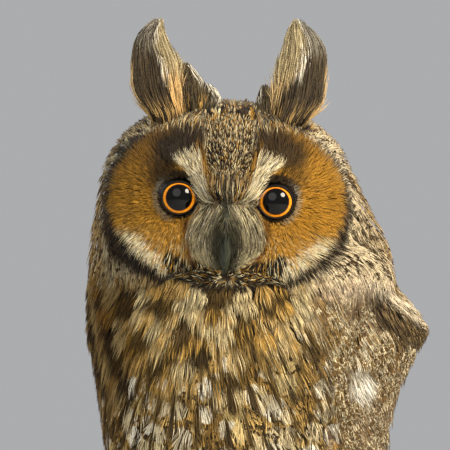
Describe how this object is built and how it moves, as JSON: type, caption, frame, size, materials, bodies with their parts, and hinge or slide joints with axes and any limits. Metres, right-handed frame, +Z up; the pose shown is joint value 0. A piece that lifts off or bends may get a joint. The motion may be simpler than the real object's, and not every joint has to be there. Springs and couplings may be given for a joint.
{
  "type": "perched owl figure",
  "caption": "Long-eared owl, life size, perched upright on a cut length of branch held by a plain display stand, head turned to its left.",
  "frame": {"origin": "middle of the stand's underside", "axes": "+Z up, -Y the way the owl's breast faces, +X its left"},
  "size_m": [0.18, 0.226, 0.3951],
  "materials": {
    "breast_coat": "buff and dark brown streaked feathers, matt",
    "facial_disc": "orange-buff hair-like feathers, matt",
    "flight_feathers": "brown barred vanes, satin",
    "foot_down": "short buff down, matt",
    "black_horn": "polished dark horn of bill and claws",
    "orange_eye": "wet clear cornea over an orange iris",
    "oak_bark": "weathered bark with sawn ends",
    "stained_oak": "dark stained and waxed",
    "brushed_steel": "brushed"
  },
  "bodies": {
    "root": {"torso": "breast_coat", "neck": "breast_coat", "head": "facial_disc", "bill_upper": "black_horn", "bill_lower": "black_horn", "wing_left": "flight_feathers", "wing_right": "flight_feathers", "tail": "flight_feathers", "ear_tuft_left": "flight_feathers", "ear_tuft_right": "flight_feathers", "eye_left": "orange_eye", "eye_right": "orange_eye", "leg_left": "foot_down", "leg_right": "foot_down", "foot_left": "foot_down", "foot_right": "foot_down", "perch": "oak_bark", "stand_base": "stained_oak", "stand_rod_left": "brushed_steel", "stand_rod_right": "brushed_steel", "claw_left_inner": "black_horn", "claw_left_middle": "black_horn", "claw_left_outer": "black_horn", "claw_left_hind": "black_horn", "claw_right_inner": "black_horn", "claw_right_middle": "black_horn", "claw_right_outer": "black_horn", "claw_right_hind": "black_horn"}
  },
  "joints": []
}
